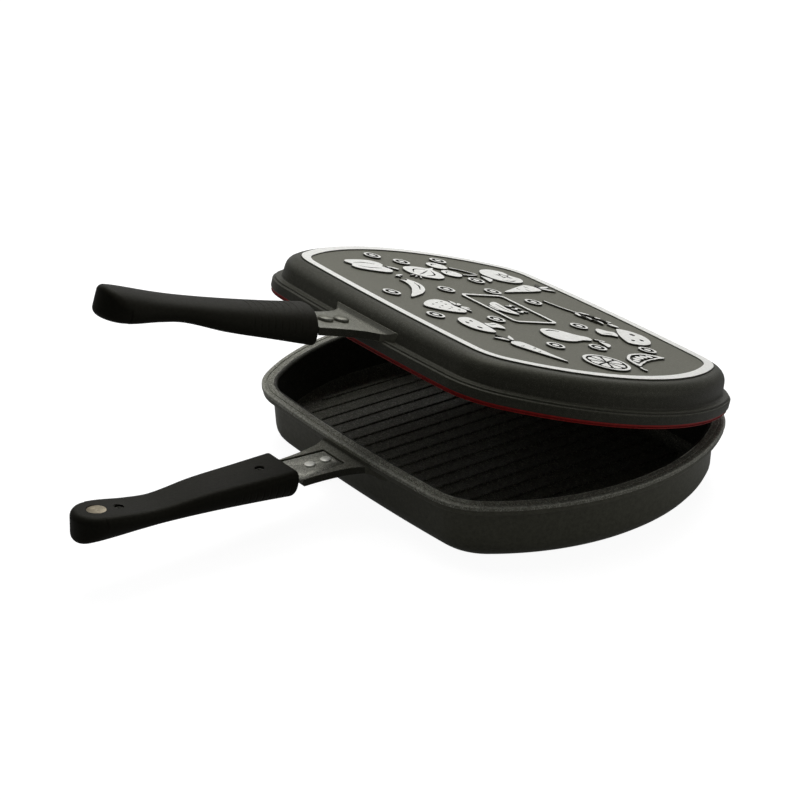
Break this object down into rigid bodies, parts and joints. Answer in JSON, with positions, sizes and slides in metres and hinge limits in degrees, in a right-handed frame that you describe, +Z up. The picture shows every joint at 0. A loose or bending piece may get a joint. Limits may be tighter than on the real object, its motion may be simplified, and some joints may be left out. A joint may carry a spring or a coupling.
{
  "type": "double sided flip pan",
  "caption": "Two shallow cast pans hinged at the back close over a soft gasket; each has a riveted tang and a moulded grip with a magnet near its end.",
  "frame": {"origin": "middle of the bottom pan on the surface it stands on", "axes": "+Z up, +Y to the hinge, so the handles point along -Y; X along the pans' long sides"},
  "size_m": [0.36, 0.5046, 0.2174],
  "materials": {
    "pan_coating": "satin dark non-stick coating on cast aluminium",
    "gasket_rubber": "dark red silicone",
    "tang_steel": "brushed",
    "rivet_aluminium": "satin",
    "grip_plastic": "matte",
    "magnet_steel": "satin plating",
    "screw_steel": "satin",
    "hinge_steel": "satin"
  },
  "bodies": {
    "base": {"bottom_pan": "pan_coating", "lower_tang": "tang_steel", "lower_rivet_inner": "rivet_aluminium", "lower_rivet_outer": "rivet_aluminium", "lower_grip": "grip_plastic", "lower_grip_screw_inner": "screw_steel", "lower_grip_screw_outer": "screw_steel", "lower_magnet": "magnet_steel", "lower_magnet_screw": "screw_steel", "hinge_pin_left": "hinge_steel", "hinge_clip_left": "hinge_steel", "hinge_pin_right": "hinge_steel", "hinge_clip_right": "hinge_steel"},
    "lid": {"lid_pan": "pan_coating", "gasket": "gasket_rubber", "upper_tang": "tang_steel", "upper_rivet_inner": "rivet_aluminium", "upper_rivet_outer": "rivet_aluminium", "upper_grip": "grip_plastic", "upper_grip_screw_inner": "screw_steel", "upper_grip_screw_outer": "screw_steel", "upper_magnet": "magnet_steel", "upper_magnet_screw": "screw_steel"}
  },
  "joints": [
    {"name": "lid_hinge", "type": "hinge", "parent": "base", "child": "lid", "pos_m": [0, 0.1421, 0.0464], "axis": [-1, 0, 0], "range_deg": [-16.44, 93.56]}
  ]
}
